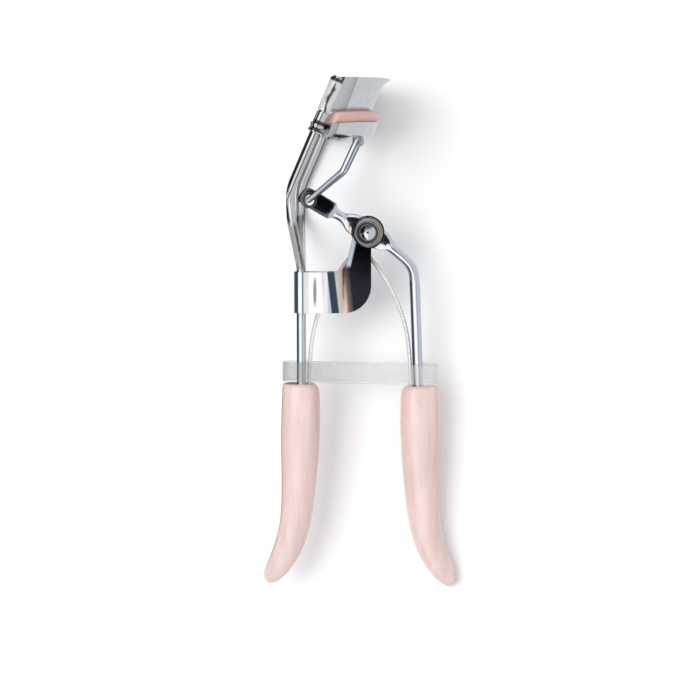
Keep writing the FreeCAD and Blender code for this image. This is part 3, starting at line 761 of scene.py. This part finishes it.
def pierced(obj, x, z, radius):
    """Drills a hole through the piece, along the curler's thickness."""
    turns = [2 * math.pi * i / DRILL_SIDES for i in range(DRILL_SIDES)]
    rings = [[at(x + radius * math.cos(a), y, z + radius * math.sin(a)) for a in turns] for y in (-4, 4)]
    drill = new_object("drill", mesh_from_rings("drill", rings))
    cut = obj.modifiers.new("hole", "BOOLEAN")
    cut.object = drill
    cut.solver = "EXACT"
    graph = bpy.context.evaluated_depsgraph_get()
    done = bpy.data.meshes.new_from_object(obj.evaluated_get(graph))
    obj.modifiers.clear()
    obj.data = done
    bpy.data.objects.remove(drill)


lever = finish_piece("forged_lever", lever_mesh(), lever_plate, subdiv=2)
pierced(lever, PIN_X, PIN_Z, PIN_HOLE_R)
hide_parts("lever_arm")
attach(lever, "lever")


# ------------------------------------------------------------------ lash pad

JAW_SLOPE = math.radians(4.5)
JAW_X = BEND_X + math.tan(LEAN) * (JAW_Z - BEND_Z)
SHEAR = math.tan(LEAN + JAW_SLOPE)
PLATE_RADIUS = 19.75
ARC_BACK = math.sqrt(PLATE_RADIUS ** 2 - RAIL_Y ** 2)


def jaw_point(u, v, w):
    """From the jaws' axes (forward, across, up) to the curler's."""
    x = JAW_X + u * math.cos(JAW_SLOPE) - w * math.sin(JAW_SLOPE)
    z = JAW_Z + u * math.sin(JAW_SLOPE) + w * math.cos(JAW_SLOPE)
    return at(x, v, z)


def pad_mesh():
    middle = PLATE_RADIUS - 0.25
    back, front = -1.22, 2.2
    # across the pad, from its back bottom edge over the crown to its front bottom edge
    outline = [
        (back, -2.9), (back, -2.0), (back, -1.3), (back + 0.06, -0.72), (back + 0.42, -0.24),
        (back + 0.95, -0.1), (-0.12, -0.13), (0.0, -0.17), (0.12, -0.13), (front - 1.1, -0.1),
        (front - 0.45, -0.22), (front - 0.06, -0.72), (front, -1.3), (front, -2.0), (front, -2.9),
    ]
    rings = []
    ends = [(-50.1, 0.72), (-49.9, 0.88), (-49.3, 0.97)]
    body = [-48.0 + 96.0 * i / 46 for i in range(47)]
    turns = [a for a, _ in ends] + body + [-a for a, _ in reversed(ends)]
    sizes = [s for _, s in ends] + [1.0] * 47 + [s for _, s in reversed(ends)]
    mid_r = (back + front) / 2
    for turn, size in zip(turns, sizes):
        a = math.radians(turn)
        ring = []
        for dr, w in outline:
            r = middle + mid_r + (dr - mid_r) * size
            h = -1.6 + (w + 1.6) * size if w > -1.6 else w
            ring.append(jaw_point(SHEAR * h - ARC_BACK + r * math.cos(a), r * math.sin(a), h))
        rings.append(ring)
    return mesh_from_rings("pad", rings)


pad = finish_piece("soft_pad", pad_mesh(), pad_mat, subdiv=1)
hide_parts("lash_pad")
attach(pad, "lower_jaw")


# ------------------------------------------------------------------ return spring

SPRING_X = -1.58
SPRING_R = 0.4
SPRING_SIDE = [(10.3, -33.5), (10.25, -30.0), (10.1, -26.5), (9.75, -22.0), (9.0, -18.0),
               (7.6, -14.0), (5.6, -10.1), (3.6, -7.0), (1.6, -4.45)]


def spring_mesh():
    curve = bpy.data.curves.new("spring_line", "CURVE")
    curve.dimensions = "3D"
    spline = curve.splines.new("NURBS")
    route = [(SPRING_X - d, z) for d, z in SPRING_SIDE] + [(SPRING_X, -3.5)]
    route += [(SPRING_X + d, z) for d, z in reversed(SPRING_SIDE)]
    spline.points.add(len(route) - 1)
    for point, (x, z) in zip(spline.points, route):
        point.co = (*at(x, 0, z), 1)
    spline.order_u = 4
    spline.use_endpoint_u = True
    spline.resolution_u = 10
    curve.bevel_depth = SPRING_R * MM
    curve.bevel_resolution = 6
    curve.use_fill_caps = True
    holder = new_object("spring_line", curve)
    graph = bpy.context.evaluated_depsgraph_get()
    mesh = bpy.data.meshes.new_from_object(holder.evaluated_get(graph))
    bpy.data.objects.remove(holder)
    return mesh


spring = finish_piece("arched_spring", spring_mesh(), spring_plate)
spring.data.materials.clear()
spring.data.materials.append(spring_plate)
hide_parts("return_spring")
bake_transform(spring)


# ------------------------------------------------------------------ retaining strap

STRAP_LEFT, STRAP_RIGHT = -17.25, 14.15
STRAP_HALF = 2.2
STRAP_LOW, STRAP_W = -30.05, 4.1
STRAP_SKEW = math.radians(1.0)


def strap_mesh():
    """A loose clear loop: a flat band that bows a little between the arms."""
    path = []
    run = STRAP_RIGHT - STRAP_LEFT - 2 * STRAP_HALF
    steps = 26
    for i in range(steps):
        t = i / steps
        bow = 0.35 * math.sin(math.pi * t)
        path.append((STRAP_LEFT + STRAP_HALF + run * t, -STRAP_HALF + bow, (0, 1)))
    for i in range(12):
        a = -math.pi / 2 + math.pi * i / 12
        path.append((STRAP_RIGHT - STRAP_HALF + STRAP_HALF * math.cos(a), STRAP_HALF * math.sin(a),
                     (-math.cos(a), -math.sin(a))))
    for i in range(steps):
        t = i / steps
        bow = 0.35 * math.sin(math.pi * t)
        path.append((STRAP_RIGHT - STRAP_HALF - run * t, STRAP_HALF - bow, (0, -1)))
    for i in range(12):
        a = math.pi / 2 + math.pi * i / 12
        path.append((STRAP_LEFT + STRAP_HALF + STRAP_HALF * math.cos(a), STRAP_HALF * math.sin(a),
                     (-math.cos(a), -math.sin(a))))
    rings = []
    thick = 0.2
    for x, y, (nx, ny) in path:
        tilt = (x - STRAP_LEFT) * math.sin(-STRAP_SKEW)
        wave = 0.06 * math.sin(0.9 * x + 1.3 * y)
        ring = []
        for inward, z in ((0, 0.0), (0, 1.4), (0, 2.8), (0, STRAP_W),
                          (thick, STRAP_W), (thick, 2.8), (thick, 1.4), (thick, 0.0)):
            ripple = wave if 0.5 < z < 4 else 0.0
            ring.append(at(x + nx * inward, y + ny * inward, STRAP_LOW + z + tilt + ripple))
        rings.append(ring)
    return mesh_from_rings("strap", rings, loop=True)


strap = finish_piece("clear_strap", strap_mesh(), film_mat, subdiv=1)
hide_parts("retaining_strap")
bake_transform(strap)


# ------------------------------------------------------------------ studio

FLOOR_Z = -0.0001             # a hair below the curler and the cards that lie on it


def table_material(name, colour):
    """Plain and dull, with a barely visible unevenness."""
    mat, tree, shader = new_material(name)
    tone = noise(tree, 60.0, 2)
    tree.links.new(ramp(tree, tone, [(0.3, colour), (0.7, tuple(c * 0.99 for c in colour[:3]) + (1,))]),
                   shader.inputs["Base Color"])
    shader.inputs["Roughness"].default_value = 0.9
    shader.inputs["Specular IOR Level"].default_value = 0.1
    return mat


def glow_material(name):
    """Shines evenly; returns the emission node too, for its colour."""
    mat, tree, shader = new_material(name)
    tree.nodes.remove(shader)
    glow = add(tree, "ShaderNodeEmission", in_Strength=1.0)
    tree.links.new(glow.outputs["Emission"], tree.nodes["Material Output"].inputs["Surface"])
    return mat, tree, glow


def floor():
    bm = bmesh.new()
    bmesh.ops.create_grid(bm, x_segments=8, y_segments=8, size=2.5)
    obj = new_object("table_top", new_mesh("table_top", bm))
    obj.data.materials.append(table_material("table_white", (0.93, 0.93, 0.935, 1)))
    obj.location.z = FLOOR_Z


def reflection_card(name, bm, mat):
    """A card that lights no plain surface and that only the bright metal sees."""
    obj = new_object(name, new_mesh(name, bm))
    obj.data.materials.append(mat)
    obj.visible_camera = False
    obj.visible_diffuse = False
    obj.visible_shadow = False
    obj.visible_transmission = False


def sweep_card(name, stops, heights, distance=0.75):
    """A reflection card on an arc about the pivot.  Each stop is an angle in degrees, from the
    viewer's side towards the lever, with the colour there; heights are along the curler."""
    bm = bmesh.new()
    tone = bm.verts.layers.float_color.new("tone")
    rows = []
    for h in heights:
        row = []
        for azimuth, colour in stops:
            a, e = math.radians(azimuth), math.radians(h)
            spot = Vector((math.sin(a) * math.cos(e), -math.cos(a) * math.cos(e), math.sin(e)))
            vert = bm.verts.new(PIVOT + LAID @ (spot * distance))
            vert[tone] = (*colour, 1)
            row.append(vert)
        rows.append(row)
    for low, high in zip(rows, rows[1:]):
        for i in range(len(stops) - 1):
            bm.faces.new((low[i], low[i + 1], high[i + 1], high[i]))
    mat, tree, glow = glow_material(name)
    painted = add(tree, "ShaderNodeAttribute", attribute_name="tone")
    tree.links.new(painted.outputs["Color"], glow.inputs["Color"])
    reflection_card(name, bm, mat)


def table_card(name, corners, colour, height_mm):
    """A card lying on the table: x and z of its corners on the curler's own axes."""
    bm = bmesh.new()
    spots = []
    for x, z in corners:
        spot = at(x, 0, z)
        spots.append(bm.verts.new((spot.x, spot.y, height_mm * MM)))
    bm.faces.new(spots)
    mat, _, glow = glow_material(name)
    glow.inputs["Color"].default_value = colour
    reflection_card(name, bm, mat)


floor()
BLACK, NAVY = (0.010, 0.011, 0.014), (0.018, 0.024, 0.045)
WHITE, PALE = (1.20, 1.20, 1.21), (0.66, 0.68, 0.71)
sweep_card("studio_sweep", (
    (-88, BLACK), (-47, BLACK), (-43, WHITE), (-20, WHITE), (2, WHITE),
    (10, PALE), (30, PALE), (58, PALE), (86, PALE)), (-85, -50, 5, 60))
sweep_card("front_patch", ((-9, NAVY), (0, BLACK), (9, NAVY)), (-24, -5, 12), 0.70)
sweep_card("upper_left_patch", ((-88, BLACK), (-60, BLACK), (-40, BLACK), (-29, BLACK)), (1.5, 10, 21), 0.70)
table_card("pale_table_card", ((-500, -400), (-500, 400), (500, 400), (500, -400)),
           (0.74, 0.76, 0.79, 1), -0.05)
table_card("dark_table_card", ((-12.6, -60), (-12.6, -2), (-14, 6), (-2.6, 34), (-20, 60), (-500, 400),
                               (-500, -250)), (0.012, 0.012, 0.015, 1), 0.0)

world = bpy.data.worlds.new("studio")
world.use_nodes = True
world.node_tree.nodes["Background"].inputs["Color"].default_value = (0.97, 0.985, 1.0, 1)
world.node_tree.nodes["Background"].inputs["Strength"].default_value = 0.72
bpy.context.scene.world = world


def soft_box(name, place, size, power, colour):
    """A big light for the plain surfaces; the plating sees the cards instead."""
    data = bpy.data.lights.new(name, "AREA")
    data.shape = "RECTANGLE"
    data.size, data.size_y = size
    data.energy = power
    data.color = colour
    obj = new_object(name, data)
    obj.location = place
    obj.rotation_euler = (PIVOT - Vector(place)).to_track_quat("-Z", "Y").to_euler()
    obj.visible_glossy = False


soft_box("key", (-0.32, 0.05, 0.84), (0.55, 0.55), 3.0, (1.0, 0.99, 0.98))
soft_box("overhead", (-0.08, 0.05, 0.95), (1.1, 1.1), 2.6, (1.0, 0.995, 0.99))

# ------------------------------------------------------------------ camera

EYE = (6.6406, -350.6090, 9.8084)
LOOK = Vector((-0.02901, 0.99506, -0.09498))
RIGHT = Vector((0.999575, 0.029143, 0.0))
camera_data = bpy.data.cameras.new("camera")
camera_data.sensor_width = 36.0
camera_data.lens = 90.0
camera_data.clip_start = 0.02
camera_data.clip_end = 10.0
camera = new_object("camera", camera_data)
look = (LAID @ LOOK).normalized()
right = (LAID @ RIGHT).normalized()
up = right.cross(look)
turn = Matrix((right, up, -look)).transposed()
camera.matrix_world = Matrix.Translation(at(*EYE)) @ turn.to_4x4()
bpy.context.scene.camera = camera
bpy.context.scene.view_settings.view_transform = "Standard"
